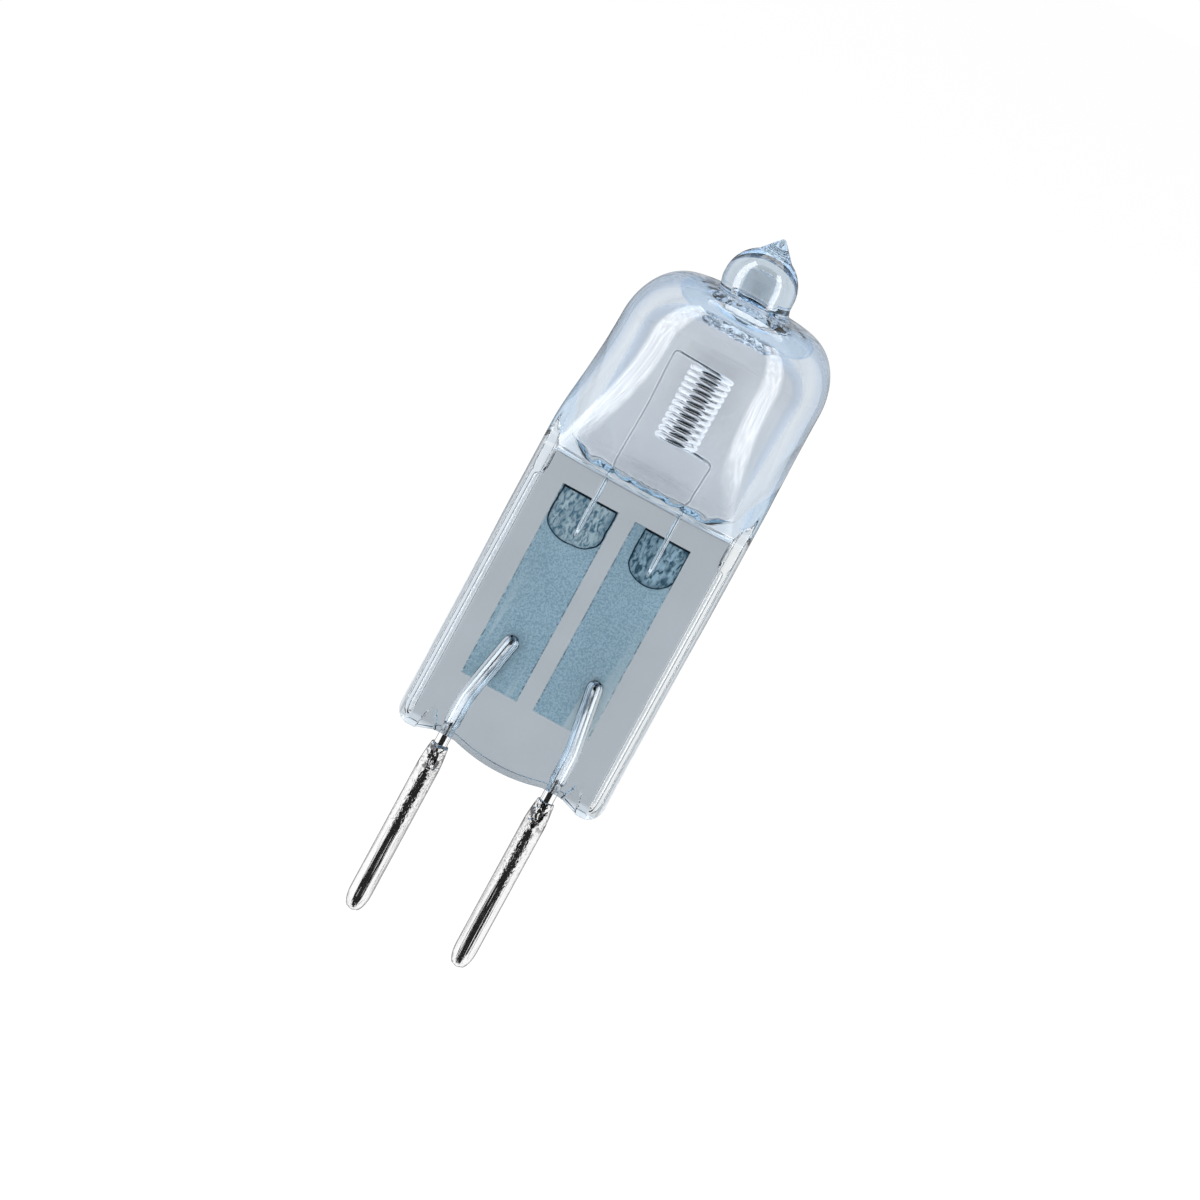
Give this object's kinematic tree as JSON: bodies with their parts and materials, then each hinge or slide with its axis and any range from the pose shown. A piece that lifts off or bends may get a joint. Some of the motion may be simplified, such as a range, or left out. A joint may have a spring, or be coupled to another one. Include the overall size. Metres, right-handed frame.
{
  "type": "halogen capsule bulb",
  "caption": "Clear halogen capsule bulb: a round quartz bulb with a standing coil filament and sealed tip, pressed flat below round its sealing foils, with pointed contact pins.",
  "frame": {"origin": "midway between the tips of the contact pins, in the plane of the tips", "axes": "+Z along the bulb's axis from the contact pins up to the exhaust tip, X across the wide face of the pinch through both pins, -Y out of the pinch's front face"},
  "size_m": [0.0122, 0.0116, 0.0422],
  "materials": {
    "quartz": "fire-polished, clear with a cool grey cast",
    "tungsten": "drawn wire",
    "foil": "thin etched foil, blue-grey",
    "molybdenum": "drawn rod",
    "contact": "bright plated, drawn lengthwise"
  },
  "bodies": {
    "root": {"quartz_envelope": "quartz", "filament": "tungsten", "foil_left": "foil", "foil_right": "foil", "outer_lead_left": "molybdenum", "outer_lead_right": "molybdenum", "contact_pin_left": "contact", "contact_pin_right": "contact"}
  },
  "joints": []
}
